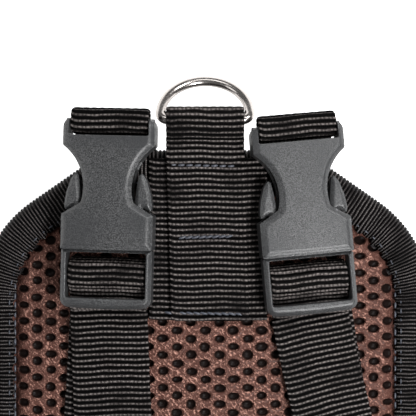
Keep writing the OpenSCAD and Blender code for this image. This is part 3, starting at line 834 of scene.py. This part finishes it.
def binding(name, circles, face_h, under_h, outwards, body, replaced):
    """Ribbed tape gathered round the panel's edge, plump over the foam inside it."""
    outline, around = rounded_hull(circles, 0.5)
    at = path_reader(np.concatenate([outline, outline[:1]]))[1]
    pitch = around / round(around / 1.22)
    rows = round(around / pitch) * 6
    s = np.linspace(0, around, rows, endpoint=False)[:, None]
    point, normal = at(s)
    thick = (face_h - under_h) * outwards
    mid = (face_h + under_h) / 2
    a = np.radians(np.linspace(-90, 90, 13))
    edge_in = 3.2 * (1 - np.cos(a)) - 0.35
    edge_h = thick / 2 * np.sin(a)
    face_in = np.array([4.0, 5.0, 6.0, 7.0, 8.0, 9.0, 10.0, 10.9, TAPE_W, TAPE_W + 0.1, TAPE_W - 0.4])
    face_up = np.array([0.25, 0.42, 0.5, 0.5, 0.42, 0.2, -0.1, -0.45, -0.95, -1.5, -1.9])
    under_in = np.array([4.0, 6.5, 9.0, TAPE_W, TAPE_W - 0.1])
    under_up = np.array([0.05, 0.05, 0.0, -0.3, -0.8])
    deep = np.concatenate([under_in[::-1], edge_in, face_in])[None, :]
    up = np.concatenate([-thick / 2 - under_up[::-1], edge_h, thick / 2 + face_up])[None, :]
    out_in = np.concatenate([np.zeros(len(under_in)), np.cos(a), np.zeros(len(face_in))])[None, :]
    out_up = np.concatenate([-np.ones(len(under_in)), np.sin(a), np.ones(len(face_in))])[None, :]
    rib = np.abs(np.sin(math.pi * s / pitch)) ** 0.8
    row = np.floor(s / pitch)
    on_face = (up > 0) * smoothstep(6.5, 10.5, deep)
    gather = 0.34 * np.sin(2 * math.pi * s / 4.1) + 0.28 * np.sin(2 * math.pi * s / 7.3 + 1.2)
    pressed = flatness(point[..., 0], point[..., 1])
    lift = 0.5 * (rib - 1) + on_face * gather * 0.8
    plump = np.where(up > 0, np.maximum(up - thick / 2, 0), 0)
    up = up - plump * pressed
    deep = deep + on_face * (gather * 1.1 + 0.12 * np.sin(row * 1.9)) * (1 - pressed)
    inward = deep - out_in * lift
    height = mid + outwards * (up + out_up * lift)
    x = point[..., 0] + normal[..., 0] * inward
    y = point[..., 1] + normal[..., 1] * inward
    points = over_dome(x, y, height)
    columns = deep.shape[1]
    faces = grid_faces(rows, columns, wrap_rows=True)
    section_in = np.concatenate([under_in[::-1], edge_in, face_in])
    section_up = np.concatenate([-under_up[::-1], edge_h, thick / 2 + face_up])
    run = np.concatenate([[0], np.cumsum(np.hypot(np.diff(section_in), np.diff(section_up)))])
    uv = np.stack(np.broadcast_arrays(run[None, :], s), -1).reshape(-1, 2) * MM
    piece = make_piece(name, points, faces, binding_cloth, body, uv=uv)
    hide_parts(*replaced)
    return piece


# ---------- moulded plastic ----------

def walked(corners, step=0.35, closed=True):
    """Points at even steps along straight edges between corners."""
    corners = np.asarray(corners, float)
    if closed:
        corners = np.concatenate([corners, corners[:1]])
    run = np.concatenate([[0], np.cumsum(np.linalg.norm(np.diff(corners, axis=0), axis=1))])
    s = np.linspace(0, run[-1], max(2, int(run[-1] / step)))
    return np.stack([np.interp(s, run, corners[:, k]) for k in (0, 1)], -1)


def nearest(points, edge):
    out = np.empty(len(points))
    for k in range(0, len(points), 20000):
        out[k:k + 20000] = np.linalg.norm(points[k:k + 20000, None, :] - edge[None, :, :], axis=-1).min(1)
    return out


def moulded(node, name, spot, body, face_h, edges, voxel=0.3, crown=0.0, half=SOCKET_HALF, bow=0.0):
    """A CAD node remade as one smooth moulding, its face's edges eased by (edge, drop, reach)."""
    m = np.array(spot)
    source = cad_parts[node]
    local = (np.array([v.co for v in source.data.vertices]) - m[:3, 3]) @ m[:3, :3]
    mesh = bpy.data.meshes.new(name)
    mesh.from_pydata(local.tolist(), [], [tuple(p.vertices) for p in source.data.polygons])
    piece = bpy.data.objects.new(name, mesh)
    bpy.context.scene.collection.objects.link(piece)
    even = piece.modifiers.new("even", "REMESH")
    even.mode = "VOXEL"
    even.voxel_size = voxel * MM
    easing = piece.modifiers.new("easing", "SMOOTH")
    easing.factor, easing.iterations = 0.5, 2
    apply_modifiers(piece)
    mesh = piece.data
    p = np.array([v.co for v in mesh.vertices]) / MM
    x, y, z = p.T
    top = face_h + crown * (1 - (x / half) ** 2) * (1 - 0.5 * (y / SOCKET_LEN) ** 2)
    near_face = z > face_h - 3
    lower = np.zeros(len(p))
    for edge, drop, reach in edges:
        d = nearest(p[near_face, :2], edge)
        lower[near_face] += drop * np.clip(1 - d / reach, 0, 1) ** 1.6
    raised = np.where(z > face_h - 0.25, top, z)
    p[:, 2] = np.minimum(raised, top - lower)
    p[:, 1] -= bow * (1 - (x / half) ** 2) * smoothstep(-FRAME_LEN + 3.4, -FRAME_LEN + 1.5, y)
    mesh.vertices.foreach_set("co", (p * MM).astype(np.float32).ravel())
    mesh.update()
    easing = piece.modifiers.new("easing", "SMOOTH")
    easing.factor, easing.iterations = 0.5, 2
    apply_modifiers(piece)
    piece.data.name = name
    piece.data.transform(spot)
    piece.data.polygons.foreach_set("use_smooth", [True] * len(piece.data.polygons))
    piece.data.materials.clear()
    piece.data.materials.append(buckle_plastic)
    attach(piece, body)
    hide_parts(node)
    return piece


def mirrored(points):
    return np.concatenate([points, points[::-1] * [-1, 1]])


def socket_edge():
    """The socket's outline: square mouth, scalloped waist and rounded ears."""
    centre = (WAIST_HALF + SCALLOP_R, SOCKET_LEN - 21.7)
    window = 10.8
    scallop = arc(centre, SCALLOP_R, 196.7, 125.1, 40)
    ear = arc((SOCKET_HALF - 3, SOCKET_LEN - 3), 3, 0, 90, 8)
    right = np.concatenate([
        [[SOCKET_HALF, 0], [SOCKET_HALF, window], [WAIST_HALF + 0.6, window + 3.8]], scallop, ear])
    return mirrored(right)


def frame_edge():
    corner = arc((FRAME_HALF - 2.5, -FRAME_LEN + 2.5), 2.5, -90, 0, 8)
    return mirrored(np.concatenate([corner, [[FRAME_HALF, -0.15]]])[::-1])


def prong_edge(side):
    leaf = [[-1.1, 0], [1.1, 0], [1.1, 7], [1.4, 8.2], [4, 6.9], [4.35, 8.6],
            [3.8, 12.3], [2.4, 16.7], [1, 18.6], [0.1, 18], [-0.6, 13.8], [-1.1, 8]]
    prong_x = SOCKET_HALF - 1.5 - SLIDE_GAP - 3.1
    return np.array([[side * (prong_x + x), 5.2 + y] for x, y in leaf])


def buckle(side, spot, names):
    """One side-release buckle: socket, plug and the plug's two springy prongs."""
    face = SOCKET_H + BUCKLE_DEPTH
    mouth = walked([[-SOCKET_HALF, 0], [SOCKET_HALF, 0]], closed=False)
    moulded(f"{side}_socket", f"{side}_socket_shell", spot, "vest", face,
            [(walked(socket_edge()), 1.25, 1.9), (mouth, -1.0, 1.2)], crown=0.6)
    opening = [[-SLOT_HALF, -1], [SLOT_HALF, -1], [SLOT_HALF, 2.8 - FRAME_LEN], [-SLOT_HALF, 2.8 - FRAME_LEN]]
    moulded(f"{side}_plug", f"{side}_plug_frame", spot, f"{side}_plug", face - 0.8,
            [(walked(frame_edge()), 1.5, 1.5), (walked(opening), 0.45, 0.6)], bow=0.55)
    for prong, hand in names:
        moulded(f"{side}_{prong}_prong", f"{side}_{prong}_release_leaf", spot,
                f"{side}_{prong}_prong", face - 2.0,
                [(walked(prong_edge(hand)), 0.9, 1.3)], voxel=0.25, crown=0.0)


# ---------- rings, loops and stitches ----------

def tube(name, path, radius, material, body, sides=20):
    """A round wire along a closed path of row-frame points."""
    path = np.asarray(path)
    way = np.roll(path, -1, 0) - np.roll(path, 1, 0)
    way /= np.linalg.norm(way, axis=1)[:, None]
    plane = np.linalg.svd(path - path.mean(0))[2][2]
    out = np.cross(way, plane)
    a = np.linspace(0, 2 * math.pi, sides, endpoint=False)
    points = path[:, None, :] + radius * (
        np.cos(a)[None, :, None] * out[:, None, :] + np.sin(a)[None, :, None] * plane)
    return make_piece(name, points, grid_faces(len(path), sides, wrap_rows=True), material, body)


def leash_ring():
    """The D-ring: a straight bar, two rounded corners and a half circle of wire."""
    corner_r = 2.2
    turn = np.radians(np.linspace(0, 90, 10))
    arch = arc((0, RING_RISE), RING_MID, 0, 180, 96)
    left = np.stack([-RING_MID + corner_r - corner_r * np.cos(turn),
                     RING_RISE - RING_RISE * np.sin(turn)], -1)
    outline = np.concatenate([arch, left[1:], left[::-1] * [-1, 1]])
    outline = walked(outline, 0.4)[:-1]
    tilt = (Matrix.Translation((0, RING_BAR_Y * MM, RING_BAR_H * MM))
            @ Matrix.Rotation(math.radians(-RING_TILT), 4, "X"))
    path = carried(MIDDLE_SPOT @ tilt, np.column_stack([outline, np.zeros(len(outline))]))
    ring = tube("leash_ring", path, (WIRE_D / 2 + 0.1) * MM, nickel, "d_ring", sides=28)
    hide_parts("d_ring")


def stitches(name, pairs, body, radius=0.34):
    """Short thread stitches between pairs of row-frame points, swelling in the middle."""
    pairs = np.asarray(pairs, float)
    start, end = pairs[:, 0], pairs[:, 1]
    way = (end - start) / np.linalg.norm(end - start, axis=1)[:, None]
    side = np.cross(way, [0, 0, 1.0])
    side /= np.linalg.norm(side, axis=1)[:, None]
    up = np.cross(side, way)
    share = np.array([0.0, 0.14, 0.5, 0.86, 1.0])
    size = np.array([0.25, 0.8, 1.0, 0.8, 0.25]) * radius * MM
    sink = np.array([-1.0, -0.25, 0.0, -0.25, -1.0]) * radius * MM
    a = np.linspace(0, 2 * math.pi, 6, endpoint=False)
    middle = (start[:, None, :] + (end - start)[:, None, :] * share[None, :, None]
              + up[:, None, :] * sink[None, :, None])
    round_by = np.cos(a)[:, None] * side[:, None, None, :] + 0.8 * np.sin(a)[:, None] * up[:, None, None, :]
    points = middle[:, :, None, :] + size[None, :, None, None] * round_by
    faces, block = [], grid_faces(5, 6)
    for k in range(len(pairs)):
        base = k * 30
        faces.extend([[base + v for v in f] for f in block])
        faces.append([base + v for v in range(6)])
        faces.append([base + 24 + v for v in range(6)])
    return make_piece(name, points, faces, thread, body)


def stitched(line, height, pitch=2.9, length=2.1, slant=0.0):
    """Pairs of points for stitches along a line of (x, y) on the panel."""
    total, at = path_reader(np.asarray(line, float))
    middle = np.arange(pitch / 2, total, pitch)
    point, normal = at(middle)
    way = np.stack([normal[:, 1], -normal[:, 0]], -1)
    turn = math.radians(slant)
    way = way * math.cos(turn) + normal * math.sin(turn)
    ends = [point + way * length / 2 * k for k in (-1, 1)]
    return np.stack([over_dome(e[:, 0], e[:, 1], height) for e in ends], 1)


def square(x, y, half_x, half_y, crossed=True):
    """Middle lines of a box stitch, with its cross."""
    box = np.array([[-1, -1], [1, -1], [1, 1], [-1, 1], [-1, -1]]) * [half_x, half_y] + [x, y]
    lines = [box[k:k + 2] for k in range(4)]
    if crossed:
        lines += [box[[0, 2]], box[[1, 3]]]
    return lines


# ---------- straps ----------

def dips(*rows, depth=0.55, reach=1.3, half=99.0):
    """Where rows of stitches across a strap pull it down; rows are distances along it."""
    def relief(s, u):
        down = sum(np.exp(-((s - row) / reach) ** 2) for row in rows)
        return -depth * down * smoothstep(half + 1.5, half - 0.5, np.abs(u))
    return relief


def centre_webbing():
    front = SECOND_H + WEB_T / 2
    fold_r = WIRE_D / 2 + SLIDE_GAP + WEB_T / 2
    pinch = RING_BAR_H - 0.35
    back = pinch - WEB_T - LAY_GAP
    path = np.concatenate([
        [[-CENTRE_DROP, front], [-2, front], [1.2, pinch + 0.5], [RING_BAR_Y - 6.3, pinch],
         [RING_BAR_Y - 3.5, RING_BAR_H + fold_r - 0.5]],
        arc((RING_BAR_Y + 1, RING_BAR_H), fold_r, 100, -100, 20),
        [[RING_BAR_Y - 1.3, RING_BAR_H - fold_r], [RING_BAR_Y - 3.5, RING_BAR_H - fold_r + 0.3],
         [RING_BAR_Y - 6.3, back], [1.9, back - 1], [1.1, back - 3],
         [1.1, BACK_UNDER_H + 0.3], [0.5, UNDER_STRAP_H + 0.1], [-1.2, UNDER_STRAP_H],
         [-24, UNDER_STRAP_H]]])
    webbing = strap_along(
        "leash_ring_webbing", MIDDLE_SPOT, path, "vest", reach=0.45,
        lean=lambda y: 0.03 * np.clip(-y, 0, None),
        relief=dips(CENTRE_DROP - 51.1, CENTRE_DROP - 27.2, CENTRE_DROP - 5, half=9.5))
    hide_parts("d_ring_webbing")
    line = [[BACKING_SHIFT, -CENTRE_DROP + 0.1], [BACKING_SHIFT, -2.4]]
    backing = strap_on_panel(
        "backing_band", line, FIRST_H, "vest", width=BACKING_W, relief=dips(CENTRE_DROP - 51.1))
    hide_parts("backing_webbing")
    top = SECOND_H + WEB_T
    rows = [stitched([[-8.2, -27.4], [9.2, -26.9]], top - 0.45, pitch=2.1, length=2.7, slant=14),
            stitched([[-12.5, -50.9], [12.6, -51.3]], top - 0.5, pitch=2.2, length=2.7, slant=-12),
            stitched([[-11.4, -4.6], [11.4, -5.1]], top - 0.55, pitch=2.6, length=2.3, slant=6)]
    stitches("centre_stitching", np.concatenate(rows), "vest", radius=0.42)


def shoulder_loop(side, spot, drop, turn, shift):
    slot_back = SOCKET_LEN - 1.7
    bar_h = SOCKET_H + BUCKLE_DEPTH / 2
    loop_r = 1.7 + 0.2 + WEB_T / 2
    low = bar_h - loop_r
    edge = ((drop + WEB_W / 2 * abs(math.sin(math.radians(turn))) + 0.4) / math.cos(math.radians(turn))
            + WEB_T / 2)
    path = np.concatenate([
        [[slot_back - loop_r, low - 0.2]],
        arc((slot_back, bar_h), loop_r, 180, 90, 8),
        arc((slot_back + 1.8, bar_h), loop_r, 90, -90, 20),
        [[slot_back + 0.1, low - 0.5], [slot_back - 1.5, low - 1.8],
         [edge + 1.2, -1.6], [edge + 0.2, -3.6], [edge, BACK_UNDER_H + 0.4],
         [edge - 0.5, UNDER_STRAP_H + 0.2], [edge - 2, UNDER_STRAP_H], [-40, UNDER_STRAP_H]]])
    webbing = strap_along(
        f"{side}_shoulder_webbing", spot @ Matrix.Translation((shift * MM, 0, 0)), path, "vest",
        reach=0.4, pitch=1.65)
    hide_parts(f"{side}_shoulder_strap")


def plug_tail(side, spot, start, start_angle, end_angle):
    """Webbing up through the plug's frame and over its bar, then down the panel as a loose tail."""
    body = f"{side}_plug"
    lie = TAIL_H + WEB_T / 2
    bar_y = (1 + FRAME_LEN - 2.8) / 2
    bar_h = TAIL_H + WEB_T + SLIDE_GAP + 1.5
    rise = 1.3 + 0.15 + WEB_T / 2
    path = np.concatenate([
        [[-bar_y + 5.1, TAIL_H], [-bar_y + 4.4, lie + 1]],
        arc((-bar_y + 1.4, bar_h), rise, 20, 90, 8),
        arc((-bar_y - 1.4, bar_h), rise, 90, 160, 8),
        [[-bar_y - 4.9, lie + 1.4], [-bar_y - 6.5, lie + 0.25],
         [-FRAME_LEN + 2, lie], [-FRAME_LEN - 1.5, lie]]])
    strap_along(f"{side}_plug_wrap", spot, path[::-1], body, reach=0.3, pitch=1.6, relief=None)
    line = bend(start, TAIL_LEN, start_angle, end_angle)[::-1]
    tail = strap_on_panel(
        f"{side}_loose_tail", line, TAIL_H, body, relief=dips(1.6, HEM_LEN - 1.5, depth=0.2))
    hem = line[:5]
    strap_on_panel(f"{side}_tail_hem", hem, TAIL_H + WEB_T, body, thickness=WEB_T * 0.9,
                   relief=dips(1.6, HEM_LEN - 1.5, depth=0.2))
    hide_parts(f"{side}_strap_tail")
    rows = []
    for along in (0.22, 0.85):
        k = along * 4
        p = line[int(k)] + (line[int(k) + 1] - line[int(k)]) * (k - int(k))
        way = line[4] - line[0]
        across = np.array([way[1], -way[0]]) / np.linalg.norm(way)
        rows.append(stitched([p - across * 10.5, p + across * 10.5], TAIL_H + 2 * WEB_T - 0.3))
    stitches(f"{side}_hem_stitching", np.concatenate(rows), body)


def adjusting_strap(side, start, start_angle, end_angle):
    length = BACK_LEN - BAND_RISE - 4 + start[1]
    line = bend(start, length, start_angle, end_angle)[::-1]
    webbing = strap_on_panel(f"{side}_adjusting_webbing", line, FIRST_H, "vest")
    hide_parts(f"{side}_adjusting_strap")
    return line[0]


def waist_webbing(feet):
    """The band across the back, sewn down at the straps' feet and at its ends."""
    line = [[BAND_HALF, BAND_Y], [-BAND_HALF, BAND_Y]]
    band = strap_on_panel("waist_webbing", line, SECOND_H, "vest")
    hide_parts("waist_band")
    lines = []
    for x in (*feet, 0.0):
        lines += square(x, BAND_Y, 8.5, 9.5)
    top = SECOND_H + WEB_T - 0.05
    pairs = [stitched(line, top) for line in lines]
    for hand in (-1, 1):
        pairs += [stitched(line, THIRD_H + WEB_T - 0.05)
                  for line in square(hand * (GLIDE_X + 12.2), BAND_Y, 1.6, 10, crossed=False)]
    stitches("waist_stitching", np.concatenate(pairs), "vest")


def side_webbing(side, hand):
    """The strap off the band's end, round a fold on the floor and back to the chest panel."""
    top_r = DOME_R + THIRD_H + WEB_T / 2
    first = math.degrees(math.asin((GLIDE_X - 18) / top_r))
    last = math.degrees(math.asin((BACK_HALF_W - 3.6) / top_r))
    fold_r = 4.5
    fold_x = SIDE_REACH - fold_r - WEB_T / 2
    path = np.concatenate([
        arc((0, AXIS_Z), top_r, 90 - first, 90 - last, 24),
        arc((fold_x, fold_r + WEB_T / 2), fold_r, 60, -90, 20),
        [[CHEST_HALF_W + 6, WEB_T / 2], [CHEST_HALF_W + 1.2, 2.4]]])
    length, at = path_reader(softened(path, reach=0.8))

    def lay(s, u, h):
        point, normal = at(s)
        x = point[..., 0] + normal[..., 0] * h
        z = point[..., 1] + normal[..., 1] * h
        return np.stack(
            [hand * x, np.broadcast_to(u, x.shape) + BAND_Y + TOP_Y, np.maximum(z, 0.02)], -1) * MM

    webbing = strap(f"{side}_side_webbing", lay, length, "vest")
    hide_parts(f"{side}_side_strap")


def girth_adjuster(side, hand):
    """A tri-glide on the side strap, with the webbing's end folded over its middle bar."""
    spot = flat_spot(hand * GLIDE_X, -BAND_Y)
    low = THIRD_H + WEB_T + SLIDE_GAP
    glide_h = low + WEB_T + 0.2
    outer = rounded_hull(both_sides([(6.0, SLOT_HALF + 0.6, 2.0), (6.0, -SLOT_HALF - 0.6, 2.0)]), 0.35)[0]
    slots = [walked([[a, -SLOT_HALF], [b, -SLOT_HALF], [b, SLOT_HALF], [a, SLOT_HALF]])
             for a, b in ((1.6, 4.8), (-4.8, -1.6))]
    moulded(f"{side}_tri_glide", f"{side}_girth_glide", spot, f"{side}_tri_glide", glide_h + 2.4,
            [(outer, 0.8, 1.2), (slots[0], 0.35, 0.6), (slots[1], 0.35, 0.6)], voxel=0.28, half=8.0)
    lie = low + WEB_T / 2
    round_x, round_h, round_r = 1.2, glide_h + 2.0, 0.6 + WEB_T / 2
    path = np.concatenate([
        [[round_x + round_r, low]],
        arc((round_x, round_h), round_r, 0, 90, 8),
        arc((-round_x, round_h), round_r, 90, 180, 8),
        [[-round_x - round_r - 0.1, lie + 1.3], [-round_x - round_r - 1.2, lie + 0.15],
         [-round_x - round_r - 2.5, lie], [-22, lie]]])
    across = spot @ Matrix.Rotation(math.radians(-90 * hand), 4, "Z")
    tail = strap_along(f"{side}_girth_tail", across, path, f"{side}_tri_glide", reach=0.3)
    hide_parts(f"{side}_side_tail")


# ---------- the vest ----------

back_pad = padded_core("back_pad", back_circles(2.0), -8.4, BACK_FOAM_H - 0.4, "vest",
                       ["back_foam_core", "back_lining"])
chest_pad = padded_core("chest_pad", chest_circles(2.0), CHEST_FACE_H + 2.4, CHEST_TOP_H - 1.0, "vest",
                        ["chest_foam_core", "chest_lining"])
air_mesh_face("back_air_mesh", back_circles(), back_pad, BACK_FACE_H, BACK_FOAM_H - 0.4, 1, "vest",
              ["back_mesh_face"])
air_mesh_face("chest_air_mesh", chest_circles(), chest_pad, CHEST_FACE_H, CHEST_FACE_H + 2.4, -1, "vest",
              ["chest_mesh_face"])
binding("back_binding_tape", back_circles(), 0.0, BACK_UNDER_H, 1, "vest", ["back_binding"])
binding("chest_binding_tape", chest_circles(), CHEST_UNDER_H, CHEST_TOP_H, -1, "vest", ["chest_binding"])

inner_edge = rounded_hull(back_circles(EDGE_STITCH_IN), 1.0)[0]
inner_edge = np.concatenate([inner_edge, inner_edge[:1]])
stitches("binding_stitching", stitched(inner_edge, -0.1, pitch=3.2, length=1.7), "vest", radius=0.24)
seams = [stitched([[hand * SEAM_X, -39], [hand * SEAM_X, SEAM_END_Y]], BACK_FACE_H - 0.6,
                  pitch=2.9, length=2.3)
         for hand in (-1, 1)]
stitches("seam_stitching", np.concatenate(seams), "vest", radius=0.36)

leash_ring()
centre_webbing()
shoulder_loop("left", LEFT_SPOT, LEFT_DROP, LEFT_TURN, 0.0)
shoulder_loop("right", RIGHT_SPOT, RIGHT_DROP, RIGHT_TURN, 0.3)
buckle("left", LEFT_SPOT, [("inner", 1), ("outer", -1)])
buckle("right", RIGHT_SPOT, [("outer", 1), ("inner", -1)])

reach = FRAME_LEN + 0.6
plug_tail("left", LEFT_SPOT,
          [LEFT_X - reach * math.sin(math.radians(-LEFT_TURN)), -LEFT_DROP - reach], 1.8, 2.8)
plug_tail("right", RIGHT_SPOT,
          [RIGHT_X + reach * math.sin(math.radians(RIGHT_TURN)), -RIGHT_DROP - reach], 11.5, 15.5)
left_foot = adjusting_strap("left", [LEFT_X - 0.2, -LEFT_DROP - 4.3], -1.5, -8)
right_foot = adjusting_strap("right", [RIGHT_X + 0.8, -RIGHT_DROP - 4.3], 9, 11.5)
waist_webbing([left_foot[0], right_foot[0]])
for side, hand in (("left", -1), ("right", 1)):
    side_webbing(side, hand)
    girth_adjuster(side, hand)


# ---------- camera, floor and light ----------

def aim(thing, target):
    thing.rotation_mode = "QUATERNION"
    thing.rotation_quaternion = (Vector(target) - thing.location).to_track_quat("-Z", "Y")


VIEW_WIDE = 130 * MM
VIEW_CENTRE = Vector((0.9 * MM, (TOP_Y - 18.1) * MM, 30 * MM))
camera = bpy.data.objects.new("camera", bpy.data.cameras.new("camera"))
bpy.context.scene.collection.objects.link(camera)
camera.location = VIEW_CENTRE + Vector((0, 0, 0.55))
camera.data.sensor_width = 36
camera.data.lens = 36 * 0.55 / VIEW_WIDE
camera.data.clip_start, camera.data.clip_end = 0.01, 20
camera.rotation_euler = (0, 0, 0)
bpy.context.scene.camera = camera

floor_points = [[-6, -6, -0.0004], [6, -6, -0.0004], [6, 6, -0.0004], [-6, 6, -0.0004]]
floor_mesh = bpy.data.meshes.new("floor")
floor_mesh.from_pydata(floor_points, [], [[0, 1, 2, 3]])
floor_mesh.materials.append(floor_material())
floor = bpy.data.objects.new("floor", floor_mesh)
bpy.context.scene.collection.objects.link(floor)


def soft_box(name, place_at, size, power, colour=(1, 1, 1)):
    lamp = bpy.data.lights.new(name, "AREA")
    lamp.shape = "RECTANGLE"
    lamp.size, lamp.size_y = size
    lamp.energy = power
    lamp.color = colour
    box = bpy.data.objects.new(name, lamp)
    box.location = Vector(place_at)
    bpy.context.scene.collection.objects.link(box)
    aim(box, (0, 0.03, 0.02))


soft_box("key_light", (0.5, 0.5, 0.7), (0.3, 0.3), 5.5)
soft_box("gloss_light", (0.235, -0.16, 0.52), (0.13, 0.13), 3.9)
soft_box("fill_light", (-0.75, 0.1, 0.5), (0.4, 0.4), 1.0)
soft_box("top_light", (-0.1, 0.8, 0.8), (0.7, 0.3), 2.2)

world = bpy.data.worlds.new("studio")
world.use_nodes = True
world.node_tree.nodes["Background"].inputs["Color"].default_value = (1.0, 1.0, 1.0, 1)
world.node_tree.nodes["Background"].inputs["Strength"].default_value = 0.16
bpy.context.scene.world = world
bpy.context.scene.view_settings.view_transform = "Standard"
